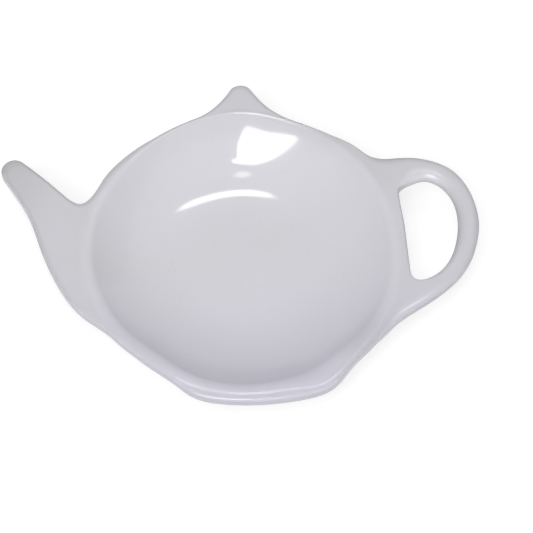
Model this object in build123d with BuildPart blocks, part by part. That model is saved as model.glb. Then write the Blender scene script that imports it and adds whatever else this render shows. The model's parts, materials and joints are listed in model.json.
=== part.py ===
from build123d import *
import os
from math import atan2, cos, hypot, radians, sin, sqrt

os.makedirs("parts", exist_ok=True)

# A glazed tea bag rest in the outline of a teapot: a round shallow bowl with a spout,
# a lid knob, a handle loop and a base lip at rim level, and a foot ring underneath.
# Lengths are in millimetres, angles in degrees about the middle of the outline, from +X.

# Bowl
height = 15.5  # table to the crest of the rim
bowl_radius = 42.5  # circle that the outline of the rim follows
rim_inset = 2.1  # what the crest's radius is short of that circle
well_shift_x = -1.0  # axis of the well, from the middle of the outline
well_shift_y = -0.55
rim_roll = 1.3  # turn from the well to the crest
floor_radius = 14.0  # flat part of the well
floor_thickness = 3.2
under_round = 8.0  # turn of the underside into the wall

# Foot ring
foot_height = 1.8
foot_radius = 24.0
foot_width = 3.6
foot_round = 0.8
foot_ledge = 3.6  # flat underside left outside the ring

# Lobes, which share the rim between them
lobe_thickness = 3.6
edge_round = 0.9
bar_round = 1.5  # edges of the handle
tip_radius = 3.5  # end of the spout and of the knob
shoulder_dip = 1.25  # outline inside its circle where the knob and the handle meet
flank_rise = 0.75  # outline beyond its circle where the base lip and the handle meet
handle_start_angle = -49.0
knob_start_angle = 64.0
spout_start_angle = 114.5
base_start_angle = 228.0

# Spout
spout_reach = 25.2  # circle of the outline to the centre of the tip
spout_angle = 155.2
spout_lift_angle = 137.5  # direction of the upper edge
spout_drop_angle = 299.0  # direction of the lower edge where it leaves the tip

# Lid knob
knob_height = 8.6
knob_angle = 88.2
knob_flank = 57.5  # half of the arc that the round tip takes

# Handle loop
handle_reach = 19.8
handle_level = 4.3  # widest point of the loop, from the middle of the outline
bar_width = 5.6
web_inset = 0.2  # straight side of the finger opening, inside the circle of the outline
opening_top = 15.4
opening_bottom = -12.9
opening_corner = 1.5
grip_x = 4.7  # middle of the opening, from the circle of the outline
grip_y = 3.0

# Base lip
base_drop = 2.2
base_angle = 270.8

# Derived places
crest_radius = bowl_radius - rim_inset
roll_level = height - rim_roll
joint_foot = height - lobe_thickness
well_floor = foot_height + floor_thickness
web_x = bowl_radius - web_inset
handle_end_angle = knob_start_angle
knob_end_angle = spout_start_angle
spout_end_angle = base_start_angle
base_end_angle = handle_start_angle + 360


def rim_point(angle, beyond):
    """A point on the plan, by its angle and its distance beyond the circle of the outline."""
    reach = bowl_radius + beyond
    return (reach * cos(radians(angle)), reach * sin(radians(angle)))


def joint_point(angle):
    """The point at an angle on the crest's circle, where a lobe meets the bowl."""
    out = heading(angle)
    ahead = well_shift_x * out[0] + well_shift_y * out[1]
    aside = well_shift_x * out[1] - well_shift_y * out[0]
    return rim_point(angle, ahead + sqrt(crest_radius * crest_radius - aside * aside) - bowl_radius)


def along_rim(angle):
    """The direction in which the rim runs at an angle."""
    return (-sin(radians(angle)), cos(radians(angle)))


def heading(angle):
    """A direction in the plan."""
    return (cos(radians(angle)), sin(radians(angle)))


def bar_inside(point):
    """The point of the finger opening that faces a point of the handle's outside."""
    dx = point[0] - (bowl_radius + grip_x)
    dy = point[1] - grip_y
    keep = 1 - bar_width / hypot(dx, dy)
    return (bowl_radius + grip_x + keep * dx, grip_y + keep * dy)


# The object's middle on the table is the origin, so the middle of the outline lies beside it
tip_centre = rim_point(spout_angle, spout_reach)
knob_centre = rim_point(knob_angle, knob_height - tip_radius)
plan_x = -(tip_centre[0] - tip_radius + bowl_radius + handle_reach) / 2
plan_y = -(knob_centre[1] + tip_radius - bowl_radius - base_drop) / 2
well_x = plan_x + well_shift_x
well_y = plan_y + well_shift_y
well_axis = Axis((well_x, well_y, 0), (0, 0, 1))
well_section = Plane(origin=(well_x, well_y, 0), x_dir=(1, 0, 0), z_dir=(0, -1, 0))
foot_plane = Plane(origin=(well_x, well_y, 0))
lobe_plane = Plane(origin=(plan_x, plan_y, joint_foot))

# The well is one arc from the flat floor that runs tangent into the roll of the rim
rise = roll_level - well_floor
run = crest_radius - floor_radius
well_arc = (run * run + rise * rise - rim_roll * rim_roll) / (2 * (rise + rim_roll))
well_centre = (floor_radius, well_floor + well_arc)
slope = atan2(run, well_arc - rise)
well_middle = (
    well_centre[0] + well_arc * sin(slope / 2),
    well_centre[1] - well_arc * cos(slope / 2),
)
well_end = (
    well_centre[0] + well_arc * sin(slope),
    well_centre[1] - well_arc * cos(slope),
)
roll_middle = (
    crest_radius - rim_roll * sin(slope / 2),
    roll_level + rim_roll * cos(slope / 2),
)
under_corner = (foot_radius + foot_ledge, foot_height)


def joint_arc(start_angle, end_angle):
    """The stretch of the crest's circle between two angles, as three points of an arc."""
    middle_angle = (start_angle + end_angle) / 2
    return (joint_point(start_angle), joint_point(middle_angle), joint_point(end_angle))


def free_edges(lobe):
    """The edges along a lobe's top and underside that don't touch its joint with the bowl."""
    kept = []
    for edge in lobe.edges():
        ends = (edge.position_at(0), edge.position_at(1))
        gaps = [hypot(end.X - well_x, end.Y - well_y) - crest_radius for end in ends]
        if min(gaps) > edge_round / 2 and abs(ends[0].Z - ends[1].Z) < edge_round:
            kept.append(edge)
    return kept


with BuildPart() as bowl:
    with BuildSketch(well_section):
        with BuildLine():
            Line((0, well_floor), (floor_radius, well_floor))
            ThreePointArc((floor_radius, well_floor), well_middle, well_end)
            ThreePointArc(well_end, roll_middle, (crest_radius, height))
            Line((crest_radius, height), (crest_radius, joint_foot))
            Line((crest_radius, joint_foot), under_corner)
            Line(under_corner, (0, foot_height))
            Line((0, foot_height), (0, well_floor))
        make_face()
    revolve(axis=well_axis)
    fillet(
        bowl.edges().filter_by_position(Axis.Z, foot_height, foot_height).filter_by(GeomType.CIRCLE),
        radius=under_round,
    )
bowl.part.label = "bowl"

with BuildPart() as spout:
    with BuildSketch(lobe_plane):
        with BuildLine():
            tip_turn = spout_drop_angle - spout_lift_angle
            tip = CenterArc(tip_centre, tip_radius, spout_lift_angle - 90, tip_turn)
            Spline(
                rim_point(spout_start_angle, 0),
                rim_point(120.0, 0),
                rim_point(129.0, 0.024 * spout_reach),
                rim_point(138.0, 0.053 * spout_reach),
                rim_point(147.0, 0.078 * spout_reach),
                rim_point(153.8, 0.087 * spout_reach),
                rim_point(158.9, 0.17 * spout_reach),
                rim_point(157.4, 0.40 * spout_reach),
                tip @ 0,
                tangents=(along_rim(spout_start_angle), heading(spout_lift_angle)),
            )
            Spline(
                tip @ 1,
                rim_point(162.0, 0.838 * spout_reach),
                rim_point(168.1, 0.635 * spout_reach),
                rim_point(175.2, 0.51 * spout_reach),
                rim_point(183.5, 0.40 * spout_reach),
                rim_point(191.8, 0.305 * spout_reach),
                rim_point(200.7, 0.19 * spout_reach),
                rim_point(209.9, 0.06 * spout_reach),
                rim_point(214.5, 0.036 * spout_reach),
                rim_point(220.0, 0.012 * spout_reach),
                rim_point(spout_end_angle, 0),
                tangents=(heading(spout_drop_angle), along_rim(spout_end_angle)),
            )
            Line(rim_point(spout_end_angle, 0), joint_point(spout_end_angle))
            ThreePointArc(*joint_arc(spout_start_angle, spout_end_angle))
            Line(joint_point(spout_start_angle), rim_point(spout_start_angle, 0))
        make_face()
    extrude(amount=lobe_thickness)
    fillet(free_edges(spout), radius=edge_round)
spout.part.label = "spout"

with BuildPart() as lid_knob:
    with BuildSketch(lobe_plane):
        with BuildLine():
            top = CenterArc(knob_centre, tip_radius, knob_angle - knob_flank, 2 * knob_flank)
            Spline(
                rim_point(knob_start_angle, -shoulder_dip),
                rim_point(70.0, -0.8 * shoulder_dip),
                rim_point(74.0, -0.08 * shoulder_dip),
                rim_point(knob_angle - 10.2, 0.16 * knob_height),
                top @ 0,
                tangents=(along_rim(knob_start_angle), heading(knob_angle - knob_flank + 90)),
            )
            Spline(
                top @ 1,
                rim_point(knob_angle + 10.2, 0.23 * knob_height),
                rim_point(knob_angle + 15.0, 0.06 * knob_height),
                rim_point(knob_angle + 19.0, 0.015 * knob_height),
                rim_point(knob_end_angle, 0),
                tangents=(heading(knob_angle + knob_flank + 90), along_rim(knob_end_angle)),
            )
            Line(rim_point(knob_end_angle, 0), joint_point(knob_end_angle))
            ThreePointArc(*joint_arc(knob_start_angle, knob_end_angle))
            Line(joint_point(knob_start_angle), rim_point(knob_start_angle, -shoulder_dip))
        make_face()
    extrude(amount=lobe_thickness)
    fillet(free_edges(lid_knob), radius=edge_round)
lid_knob.part.label = "lid_knob"

with BuildPart() as handle_loop:
    loop_low = [
        rim_point(-45.0, flank_rise),
        rim_point(-41.0, 0.055 * handle_reach),
        rim_point(-32.8, 0.135 * handle_reach),
        rim_point(-24.6, 0.34 * handle_reach),
        rim_point(-17.4, 0.58 * handle_reach),
        rim_point(-10.6, 0.79 * handle_reach),
        rim_point(-3.5, 0.93 * handle_reach),
    ]
    loop_side = (bowl_radius + handle_reach, handle_level)
    loop_high = [
        rim_point(11.3, handle_reach),
        rim_point(18.3, 0.91 * handle_reach),
        rim_point(24.8, 0.66 * handle_reach),
        rim_point(29.8, 0.34 * handle_reach),
        rim_point(32.5, 0.16 * handle_reach),
        rim_point(36.6, 0.045 * handle_reach),
        rim_point(41.0, 0.02 * handle_reach),
        rim_point(46.0, 0),
        rim_point(52.0, -0.62 * shoulder_dip),
        rim_point(57.0, -0.88 * shoulder_dip),
    ]
    with BuildSketch(lobe_plane):
        with BuildLine():
            Spline(
                rim_point(handle_start_angle, flank_rise),
                *loop_low,
                loop_side,
                tangents=(along_rim(handle_start_angle), (0, 1)),
            )
            Spline(
                loop_side,
                *loop_high,
                rim_point(handle_end_angle, -shoulder_dip),
                tangents=((0, 1), along_rim(handle_end_angle)),
            )
            Line(rim_point(handle_end_angle, -shoulder_dip), joint_point(handle_end_angle))
            ThreePointArc(*joint_arc(handle_start_angle, handle_end_angle))
            Line(joint_point(handle_start_angle), rim_point(handle_start_angle, flank_rise))
        make_face()
    extrude(amount=lobe_thickness)
    with BuildSketch(lobe_plane):
        with BuildLine():
            Line((web_x, opening_top), (web_x, opening_bottom))
            Spline(
                (web_x, opening_bottom),
                bar_inside(loop_low[4]),
                bar_inside(loop_low[5]),
                bar_inside(loop_low[6]),
                bar_inside(loop_side),
                bar_inside(loop_high[0]),
                bar_inside(loop_high[1]),
                bar_inside(loop_high[2]),
                (web_x, opening_top),
            )
        make_face()
    extrude(amount=lobe_thickness, mode=Mode.SUBTRACT)
    web_side = plan_x + web_x
    fillet(
        handle_loop.edges().filter_by(Axis.Z).filter_by_position(Axis.X, web_side, web_side),
        radius=opening_corner,
    )
    fillet(free_edges(handle_loop), radius=bar_round)
handle_loop.part.label = "handle_loop"

with BuildPart() as base_lip:
    with BuildSketch(lobe_plane):
        with BuildLine():
            Spline(
                rim_point(base_start_angle, 0),
                rim_point(base_angle - 36.5, 0.05 * base_drop),
                rim_point(base_angle - 30.3, 0.38 * base_drop),
                rim_point(base_angle - 24.0, 0.97 * base_drop),
                rim_point(base_angle - 12.7, 1.04 * base_drop),
                rim_point(base_angle, base_drop),
                rim_point(base_angle + 12.7, 1.33 * base_drop),
                rim_point(base_angle + 24.0, 1.50 * base_drop),
                rim_point(base_angle + 30.3, 0.83 * base_drop),
                rim_point(base_angle + 35.2, 0.41 * base_drop),
                rim_point(base_end_angle, flank_rise),
                tangents=(along_rim(base_start_angle), along_rim(base_end_angle)),
            )
            Line(rim_point(base_end_angle, flank_rise), joint_point(base_end_angle))
            ThreePointArc(*joint_arc(base_start_angle, base_end_angle))
            Line(joint_point(base_start_angle), rim_point(base_start_angle, 0))
        make_face()
    extrude(amount=lobe_thickness)
    fillet(free_edges(base_lip), radius=edge_round)
base_lip.part.label = "base_lip"

with BuildPart() as foot_ring:
    with BuildSketch(foot_plane):
        Circle(foot_radius)
        Circle(foot_radius - foot_width, mode=Mode.SUBTRACT)
    extrude(amount=foot_height)
    fillet(foot_ring.edges().filter_by_position(Axis.Z, 0, 0), radius=foot_round)
foot_ring.part.label = "foot_ring"

export_step(bowl.part, "parts/bowl.step")
export_step(spout.part, "parts/spout.step")
export_step(lid_knob.part, "parts/lid_knob.step")
export_step(handle_loop.part, "parts/handle_loop.step")
export_step(base_lip.part, "parts/base_lip.step")
export_step(foot_ring.part, "parts/foot_ring.step")
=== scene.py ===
# %% [markdown]
# # A tea bag rest in the outline of a teapot
# The real rest is one piece of white clay under a clear, faintly lavender glaze.
# The solids of the packed part are the frame: the skins below fill the same space.
# Each solid gets one skin that stands for it, so the frame is loaded and measured first.

# %% Load the packed part
import json

import bpy
import numpy as np
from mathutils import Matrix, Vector


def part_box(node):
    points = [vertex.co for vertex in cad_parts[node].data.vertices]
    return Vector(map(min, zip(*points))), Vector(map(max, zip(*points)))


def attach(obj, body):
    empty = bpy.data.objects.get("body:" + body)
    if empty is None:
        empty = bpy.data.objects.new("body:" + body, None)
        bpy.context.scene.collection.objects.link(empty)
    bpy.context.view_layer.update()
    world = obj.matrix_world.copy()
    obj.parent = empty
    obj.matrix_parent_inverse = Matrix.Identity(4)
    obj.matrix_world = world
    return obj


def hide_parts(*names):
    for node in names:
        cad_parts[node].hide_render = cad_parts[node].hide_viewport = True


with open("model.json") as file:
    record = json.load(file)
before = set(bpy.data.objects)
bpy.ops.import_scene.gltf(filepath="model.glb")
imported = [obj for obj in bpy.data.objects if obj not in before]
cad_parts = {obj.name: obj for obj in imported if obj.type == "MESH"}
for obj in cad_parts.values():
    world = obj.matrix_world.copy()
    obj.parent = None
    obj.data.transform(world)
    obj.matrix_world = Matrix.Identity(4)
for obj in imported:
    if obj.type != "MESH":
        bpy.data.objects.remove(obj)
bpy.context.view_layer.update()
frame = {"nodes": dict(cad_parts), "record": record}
print("solids:", sorted(frame["nodes"]))

# %% [markdown]
# ## Sizes that all pieces share
# The rest is a round well with a fine ridge round it: the crest of the rim. The lobes (spout,
# knob, handle, lip) are thin plates that join the well just inside the crest and together make
# the whole outline. The outline was drawn about a point a little beside the axis of the well,
# so both points are needed.
# They could be typed in again, but reading them from the boxes of the solids keeps the skins
# and the solids together.

# %% Read the shared sizes from the frame
MM = 0.001
OFF_AXIS = np.array([1.0, 0.55]) * MM
RIM_INSET = 2.1 * MM
foot_low, foot_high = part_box("foot_ring")
bowl_low, bowl_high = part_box("bowl")
axis = np.array([foot_low.x + foot_high.x, foot_low.y + foot_high.y]) / 2
middle = axis + OFF_AXIS
crest_level = bowl_high.z
lobe_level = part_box("spout")[0].z
joint_radius = (bowl_high.x - bowl_low.x) / 2
outline_radius = joint_radius + RIM_INSET
print(f"joint {joint_radius / MM:.2f} mm from the axis")
print(f"lobes {(crest_level - lobe_level) / MM:.2f} mm thick")

# %% [markdown]
# ## From grids to a closed skin
# Every skin is made of patches: grids of points in rows and columns. A skin could also be pulled
# over the solid by a modifier, but a grid is easy to work out with numpy and keeps even rows.
# A patch also carries how thin the glaze is at each point. The material turns that into gloss
# and into painted shade and painted light.

# %% A patch and its quads


def patch(points, thin=0.0, seam=None, hidden=False, close=False):
    """A grid of points with how thin the glaze is there, which also sets painted shade and light,
    its known normals if it has any, whether it is a hidden joint, and whether its last row meets its first."""
    points = np.asarray(points, float)
    return {
        "points": points,
        "thin": np.broadcast_to(thin, points.shape[:2]),
        "seam": np.full(points.shape, np.nan) if seam is None else seam,
        "hidden": hidden,
        "close": close,
    }


def grid_quads(rows, columns, close):
    """Corner numbers of each quad: along the row first, then to the next row, so that
    columns crossed with rows points outwards."""
    row = np.arange(rows if close else rows - 1)[:, None]
    column = np.arange(columns - 1)[None, :]
    here, after = row * columns + column, (row + 1) % rows * columns + column
    return np.stack([here, here + 1, after + 1, after], -1).reshape(-1, 4)


def joined(patches):
    """Points, glaze with its painted shade, and known normals of all patches in a row, their quads,
    and which are joints.
    """
    points = np.concatenate([p["points"].reshape(-1, 3) for p in patches])
    thin = np.concatenate([p["thin"].reshape(-1) for p in patches])
    seam = np.concatenate([p["seam"].reshape(-1, 3) for p in patches])
    starts = np.cumsum([0] + [p["thin"].size for p in patches])
    grids = [grid_quads(*p["thin"].shape, p["close"]) for p in patches]
    quads = np.concatenate([grid + start for grid, start in zip(grids, starts)])
    joint = np.concatenate([np.full(len(grid), p["hidden"]) for grid, p in zip(grids, patches)])
    return points, thin, seam, quads, joint


print("quads of a 3 by 4 grid:", len(grid_quads(3, 4, False)))

# %% [markdown]
# ## Weld the patches
# Neighbouring patches repeat the points of their shared border. Welding them by their rounded
# place closes the seams, and turns quads that shrink to a pole into triangles. Blender's own
# merge by distance would do it too, but would lose track of the known normals.
# The pieces touch where the glaze runs on without a seam. So the normals there are given by the
# surface itself, and both sides of a joint catch the light alike.

# %% One mesh from patches
WELD = 1e-7
JOINT_ANGLE = np.radians(50)


def give_normals(mesh, seam, joint):
    """Sets the known normals at the corners that show. The other corners keep Blender's own."""
    normals = np.empty(len(mesh.loops) * 3, np.float32)
    mesh.corner_normals.foreach_get("vector", normals)
    normals = normals.reshape(-1, 3)
    given = ~joint & ~np.isnan(seam[:, 0])
    normals[given] = seam[given]
    mesh.normals_split_custom_set(normals.tolist())


def measured(mesh, points):
    """The count of triangles, and the volume: a sixth of the sum of their triple products."""
    mesh.calc_loop_triangles()
    count = len(mesh.loop_triangles)
    corners = np.empty(count * 3, np.int32)
    mesh.loop_triangles.foreach_get("vertices", corners)
    a, b, c = np.moveaxis(points[corners.reshape(-1, 3)], 1, 0)
    return count, np.einsum("ij,ij->i", a, np.cross(b, c)).sum() / 6


def closed_piece(name, patches):
    """One mesh from all patches. Points closer than the weld step are one point, and a quad
    that has lost a corner is a triangle."""
    points, thin, seam, quads, joint = joined(patches)
    keys = np.round(points / WELD).astype(np.int64)
    _, first, merged = np.unique(keys, axis=0, return_index=True, return_inverse=True)
    corners = merged.reshape(-1)[quads]
    differs = corners != np.roll(corners, 1, axis=1)
    four, three = differs.sum(1) == 4, differs.sum(1) == 3
    faces = corners[four].tolist() + corners[three][differs[three]].reshape(-1, 3).tolist()
    mesh = bpy.data.meshes.new(name)
    mesh.from_pydata(points[first].tolist(), [], faces)
    mesh.polygons.foreach_set("use_smooth", np.ones(len(faces), bool))
    # The attribute holds how thin the glaze is, for gloss, and also the painted shade and light of its
    # colour.
    layer = mesh.attributes.new("thin_glaze_and_painted_shade", "FLOAT", "POINT")
    layer.data.foreach_set("value", thin[first].astype(np.float32))
    mesh.set_sharp_from_angle(angle=JOINT_ANGLE)
    corner_seam = np.concatenate([seam[quads[four]].reshape(-1, 3), seam[quads[three]][differs[three]]])
    corner_joint = np.concatenate([np.repeat(joint[four], 4), np.repeat(joint[three], 3)])
    give_normals(mesh, corner_seam, corner_joint)
    piece = bpy.data.objects.new(name, mesh)
    bpy.context.scene.collection.objects.link(piece)
    count, volume = measured(mesh, points[first])
    print(f"{name}: {count} triangles, {volume * 1e6:.2f} cubic centimetres")
    return piece


print(f"points within {WELD / MM:.4f} mm are one point")

# %% [markdown]
# ## Lines on the plan
# The outline of the teapot looks drawn freehand: smooth curves with round tips. A cubic spline
# through a few points gives such a line. A Blender curve could do it too, but numpy also gives
# the direction along the line, which the rounded edge needs. Points are written as an angle round
# the middle and a reach beyond the circle that the outline follows.

# %% Angles and reaches
LIP_ANGLE = 270.8
HANDLE_START, KNOB_START, SPOUT_START, BASE_START = -49.0, 64.0, 114.5, 228.0
SHOULDER_DIP, FLANK_RISE = 1.25 * MM, 0.75 * MM


def heading(angle):
    """The unit direction of an angle in degrees."""
    turn = np.radians(np.asarray(angle, float))
    return np.stack([np.cos(turn), np.sin(turn)], -1)


def outline(angle, beyond):
    """A plan point by its angle round the middle and its reach beyond the circle of the outline."""
    return middle + (outline_radius + beyond) * heading(angle)


def marked(marks, size, start=0.0):
    """Plan points by their angles from a start and by shares of a size beyond the circle."""
    return [outline(start + turn, share * size) for turn, share in marks]


def angle_of(plan):
    """Angle in degrees of plan points round the axis of the well."""
    return np.degrees(np.arctan2(plan[..., 1] - axis[1], plan[..., 0] - axis[0]))


print("the lobes meet at", (HANDLE_START, KNOB_START, SPOUT_START, BASE_START), "degrees")

# %% [markdown]
# ## A smooth line through points
# A thin wooden strip bent through pins takes the shape of a cubic spline, and that is how such
# outlines were once drawn. A Bezier curve would need two handles at each point, while a spline
# finds its own way through them.

# %% Spline through points


def spline(points, first, last, count=900):
    """A cubic through each pair of points. The speeds at the points solve one linear system,
    which keeps the bend even across each point; the speeds at both ends are given."""
    points = np.asarray(points, float)
    step = np.linalg.norm(np.diff(points, axis=0), axis=1)
    knots = np.concatenate([[0], np.cumsum(step)])
    inner = np.arange(1, len(points) - 1)
    matrix = np.eye(len(points))
    matrix[inner, inner - 1], matrix[inner, inner + 1] = 1 / step[:-1], 1 / step[1:]
    matrix[inner, inner] = 2 / step[:-1] + 2 / step[1:]
    slope = 3 * np.diff(points, axis=0) / step[:, None] ** 2
    wanted = np.vstack([[first], slope[:-1] + slope[1:], [last]])
    speed = np.linalg.solve(matrix, wanted)
    along = np.linspace(0, knots[-1], count)
    span = np.clip(np.searchsorted(knots, along, side="right") - 1, 0, len(step) - 1)
    h = step[span][:, None]
    t = (along - knots[span])[:, None] / h
    start = (1 + 2 * t) * (1 - t) ** 2 * points[span] + t * (1 - t) ** 2 * h * speed[span]
    return start + t**2 * (3 - 2 * t) * points[span + 1] + t**2 * (t - 1) * h * speed[span + 1]


print("a straight line stays straight:", spline([(0, 0), (1, 0), (3, 0)], (1, 0), (1, 0), 3).tolist())

# %% [markdown]
# ## Even points and sides of a line
# The rows of a skin start at points of its outline. They are spread evenly along its length, so
# that the quads have the same width all along. The side of a line says which way its edge faces.
# Geometry nodes can resample a curve too, but here the points are needed in numpy.

# %% Even spacing, sides and arcs


def evenly(line, count):
    """The same line with its points spread evenly along its length."""
    gone = np.concatenate([[0], np.cumsum(np.linalg.norm(np.diff(line, axis=0), axis=1))])
    at = np.linspace(0, gone[-1], count)
    return np.stack([np.interp(at, gone, line[:, 0]), np.interp(at, gone, line[:, 1])], -1)


def right_side(line):
    """Unit normals on the right hand of a line: its direction, turned a quarter."""
    step = np.gradient(line, axis=0)
    step /= np.linalg.norm(step, axis=1, keepdims=True)
    return np.stack([step[:, 1], -step[:, 0]], -1)


def arc(centre, radius, start, end, count=160):
    """Plan points on a circle, from one heading to another."""
    return centre + radius * heading(np.linspace(start, end, count))


print("right hand of a line along X:", right_side(np.array([(0.0, 0.0), (1.0, 0.0)]))[0])

# %% [markdown]
# ## The crest
# The well, the crest and the tops of the lobes are one skin of glaze on the real rest. So their
# level is one function of the place on the plan. Its backbone is the crest, a circle that a
# finisher sponged by hand: it leans out below the knob and the spout, and keeps clear of the
# outline where that comes close. Beside it the glaze dips a little, deepest in front, where it
# has pooled. A plain circle would be simpler, but the light along the ridge shows that it wavers.
# Bell curves round the axis say where, how widely and how much.

# %% Crest and dip
CREST = 41.6 * MM
LEANS = [(88.0, 20.0, 1.3 * MM), (172.0, 24.0, 1.1 * MM)]
SPONGED = [
    (229.0, 17.0, 0.85 * MM), (64.0, 20.0, 0.35 * MM), (5.0, 25.0, 0.5 * MM),
    (294.0, 10.0, -2.2 * MM),
]
SIDE_DIP, FRONT_DIP, FRONT_WIDTH = 0.06 * MM, 0.12 * MM, 50.0
DIP_WIDTH = 0.4 * MM
NARROWS = [(64.0, 18.0), (118.0, 16.0), (228.0, 14.0)]


def bell(angle, centre, width):
    """A bell curve round the axis: one at the centre, fading over the width, all in degrees."""
    apart = (np.asarray(angle) - centre + 180) % 360 - 180
    return np.exp(-((apart / width) ** 2))


def bells(angle, marks):
    """The sum of bell curves, each with its centre, its width and its height."""
    return sum(height * bell(angle, centre, width) for centre, width, height in marks)


def crest_reach(angle):
    """Distance of the crest from the axis: a circle, more where the wall leans out, and less where
    the finisher sponged it. A negative amount is a place that was pushed out."""
    return CREST + bells(angle, LEANS) - bells(angle, SPONGED)


def dip(angle, beyond):
    """How far the top lies below the crest: none on the crest, the full dip beyond it, along a
    bell curve of the distance, and none where the rim is narrow."""
    room = np.clip(1 - sum(bell(angle, centre, width) for centre, width in NARROWS), 0, 1)
    full = SIDE_DIP + (FRONT_DIP - SIDE_DIP) * bell(angle, LIP_ANGLE, FRONT_WIDTH)
    return room * full * (1 - np.exp(-((beyond / DIP_WIDTH) ** 2)))


reaches = [crest_reach(angle) / MM for angle in (0, 90, 180, 270)]
print("crest at handle, knob, spout and lip:", [f"{reach:.2f} mm" for reach in reaches])

# %% [markdown]
# ## Turn and swell of the wall
# The wall turns on to the crest, tightly below the knob and widely in front, as the light on it
# shows. It also swells very slightly, as a wall does that a hand has pressed. A noise texture could
# displace it, but two waves are enough and stay smooth.

# %% Turn and swell
TURN, BACK_TURN, BACK_ANGLE, BACK_WIDTH = 4.2 * MM, 0.9 * MM, 86.0, 50.0
WIDE_TURNS = [(295.0, 11.0, 4.5 * MM), (229.0, 14.0, 1.0 * MM)]
SWELL = 0.03 * MM
SWELL_WAVES = [(2, 0.6, 1.0), (3, -1.9, 0.7)]


def turn_radius(angle):
    """Radius of the turn on to the crest: tight at the back, wide elsewhere, wider still in two places."""
    away_from_back = (1 - bell(angle, BACK_ANGLE, BACK_WIDTH)) ** 2
    return BACK_TURN + (TURN - BACK_TURN) * away_from_back + bells(angle, WIDE_TURNS)


def swell(angle, share):
    """A slight swell that keeps reflections from looking machined: waves round the axis, highest
    half way to the crest."""
    depth = np.sin(np.pi * np.clip(share, 0, 1)) ** 2
    waves = sum(size * np.cos(n * np.radians(angle) + start) for n, start, size in SWELL_WAVES)
    return SWELL * depth * waves


turns = [turn_radius(angle) / MM for angle in (BACK_ANGLE, LIP_ANGLE)]
print("turn at the back and in front:", [f"{turn:.1f} mm" for turn in turns])

# %% [markdown]
# ## One surface for all tops
# From the axis outwards the level has a flat floor, an arc for the wall, the turn and the dip.
# Separate pieces could each have a top of their own, but pieces that take their points and
# normals from one function meet without a trace, wherever their joint lies.

# %% Level of the surface at a place
floor_radius, floor_thickness = 14.0 * MM, 3.2 * MM
floor_level = foot_high.z + floor_thickness
rise = crest_level - floor_level
SLOPE_STEP = 0.005 * MM


def surface(plan):
    """Level of the glaze: the arc of the wall and the arc of the turn share a tangent, and the
    turn ends level on the crest."""
    angle, reach = angle_of(plan), np.linalg.norm(plan - axis, axis=-1)
    crest, turn = crest_reach(angle), turn_radius(angle)
    floor_edge = floor_radius + bells(angle, LEANS)
    run = crest - floor_edge
    both_arcs = (run**2 + rise**2) / (2 * rise)
    wall_arc = both_arcs - turn
    wall_end = floor_edge + wall_arc * np.sin(np.arctan2(run, both_arcs - rise))
    on_wall = np.clip(reach, floor_edge, wall_end) - floor_edge
    wall = floor_level + wall_arc - np.sqrt(wall_arc**2 - on_wall**2)
    to_crest = np.clip(crest - reach, 0, crest - wall_end)
    turned = crest_level - turn + np.sqrt(turn**2 - to_crest**2)
    level = np.where(reach < wall_end, wall, turned)
    return level - dip(angle, np.maximum(reach - crest, 0)) + swell(angle, reach / crest)


def surface_normals(plan):
    """Unit normals of the surface from its slope, measured over two short steps."""
    steps = SLOPE_STEP * np.eye(2)
    slopes = [(surface(plan + step) - surface(plan - step)) / (2 * SLOPE_STEP) for step in steps]
    normals = np.stack([-slopes[0], -slopes[1], np.ones(plan.shape[:-1])], -1)
    return normals / np.linalg.norm(normals, axis=-1, keepdims=True)


print(f"the well is {(crest_level - surface(axis)) / MM:.2f} mm deep")

# %% [markdown]
# ## How thin the glaze is, and its painted shade
# The glaze counts as thinner on the lobes, more so in a few places on the rim and towards the tip
# of the spout; there it is duller and painted darker: painted shade. A band on the wall just
# inside the crest below the knob is also darker and duller. This could be painted by hand on the
# mesh. As a function of the place it stays true when a shape changes, and it is kept as an
# attribute of the points for the material.

# %% Thinness and painted shade of the glaze on top
# The lobes, a few places on the rim and the spout's tip are painted darker by these: painted shade.
FLAT_THIN_AND_SHADE, TIP_THIN_AND_SHADE, KNOB_BAND = 0.15, 0.34, 0.13
THIN_AND_SHADED_PLACES = [(-44.0, 15.0, 0.36), (54.0, 16.0, 0.2), (275.0, 20.0, 0.05), (215.0, 16.0, 0.12)]
LOBE_FROM_TO, TIP_FROM_TO, PLACE_FROM_TO = np.array([(-1.5, 2.0), (8.0, 28.0), (-4.0, -0.5)]) * MM
KNOB_BAND_FROM_TO, KNOB_BAND_ENDS, KNOB_BAND_WIDTH = (-7.0 * MM, -3.0 * MM), (1.2 * MM, 0.2 * MM), 30.0


def eased(value, low, high):
    """Nought at low and one at high, along a smooth step."""
    share = np.clip((value - low) / (high - low), 0, 1)
    return share**2 * (3 - 2 * share)


def thinness(plan):
    """How thin the glaze is on top, which also sets its painted shade, by the distance beyond the
    crest and the angle.
    """
    angle = angle_of(plan)
    beyond = np.linalg.norm(plan - axis, axis=-1) - crest_reach(angle)
    on_lobe = FLAT_THIN_AND_SHADE * eased(beyond, *LOBE_FROM_TO)
    on_spout = TIP_THIN_AND_SHADE * eased(beyond, *TIP_FROM_TO) * (plan[..., 0] < axis[0])
    in_places = bells(angle, THIN_AND_SHADED_PLACES) * eased(beyond, *PLACE_FROM_TO)
    knob_band = eased(beyond, *KNOB_BAND_FROM_TO) * eased(beyond, *KNOB_BAND_ENDS) * bell(angle, BACK_ANGLE, KNOB_BAND_WIDTH)
    return on_lobe + on_spout + in_places + KNOB_BAND * knob_band


def raised(plan, level):
    """Plan points at a level."""
    return np.concatenate([plan, np.broadcast_to(level, plan.shape[:-1])[..., None]], -1)


def glazed_top(plan, close=False, thinner=0.0):
    """A patch of the surface, with the glaze thinner and its painted shade darker by a given amount."""
    return patch(raised(plan, surface(plan)), thinness(plan) + thinner, surface_normals(plan), close=close)


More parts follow.
